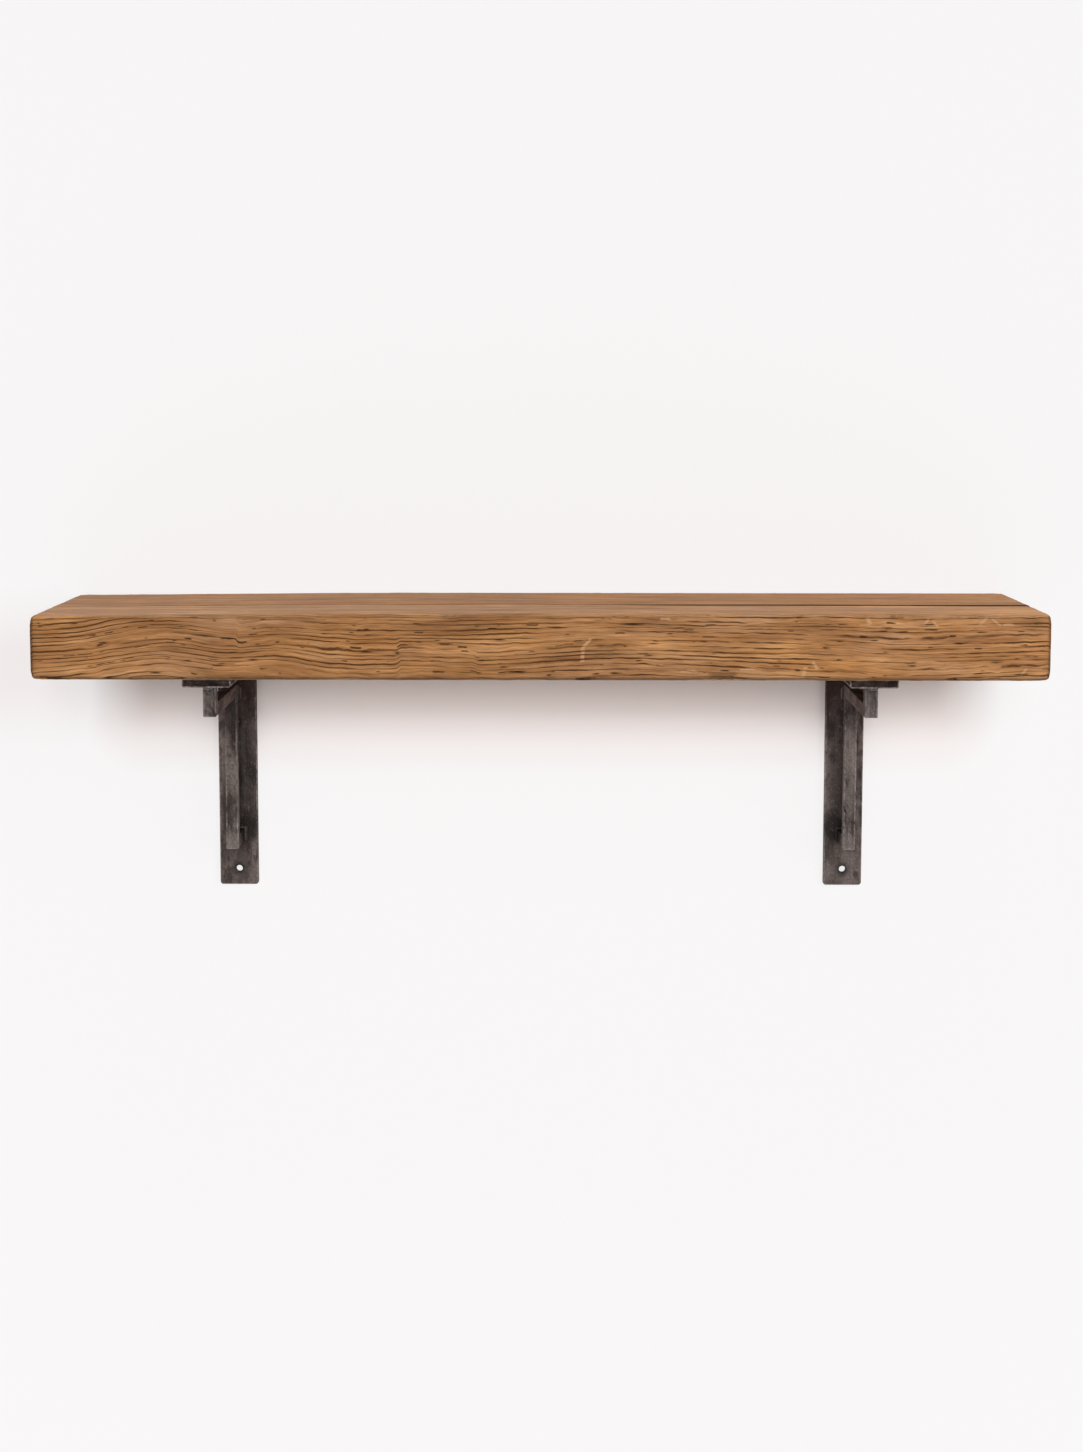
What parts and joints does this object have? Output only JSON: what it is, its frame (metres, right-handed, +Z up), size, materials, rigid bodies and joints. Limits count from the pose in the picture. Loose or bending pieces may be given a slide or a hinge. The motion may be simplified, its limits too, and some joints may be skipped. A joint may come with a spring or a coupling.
{
  "type": "bracket wall shelf",
  "caption": "Thick weathered wooden shelf board carried on a pair of welded steel wall brackets, each a flat-bar L braced by an inner rail of square bar.",
  "frame": {"origin": "centre of the board's back face, on the wall plane", "axes": "+X along the board, to the right when facing the shelf, +Y into the wall, +Z up"},
  "size_m": [0.914, 0.254, 0.292],
  "materials": {
    "pine_board": "weathered honey-brown pine, waxed, with raised grain",
    "dowel_wood": "plain beech",
    "dark_steel": "dark hot-rolled steel under a clear satin lacquer",
    "weld_steel": "weld metal under the same lacquer",
    "screw_steel": "dark phosphated screws"
  },
  "bodies": {
    "root": {"front_plank": "pine_board", "rear_plank": "pine_board", "seam_dowels": "dowel_wood", "left_wall_plate": "dark_steel", "left_shelf_plate": "dark_steel", "left_front_post": "dark_steel", "left_arm_bar": "dark_steel", "left_leg_bar": "dark_steel", "left_foot_bar": "dark_steel", "left_corner_weld": "weld_steel", "left_rail_welds": "weld_steel", "left_shelf_screws": "screw_steel", "right_wall_plate": "dark_steel", "right_shelf_plate": "dark_steel", "right_front_post": "dark_steel", "right_arm_bar": "dark_steel", "right_leg_bar": "dark_steel", "right_foot_bar": "dark_steel", "right_corner_weld": "weld_steel", "right_rail_welds": "weld_steel", "right_shelf_screws": "screw_steel"}
  },
  "joints": []
}
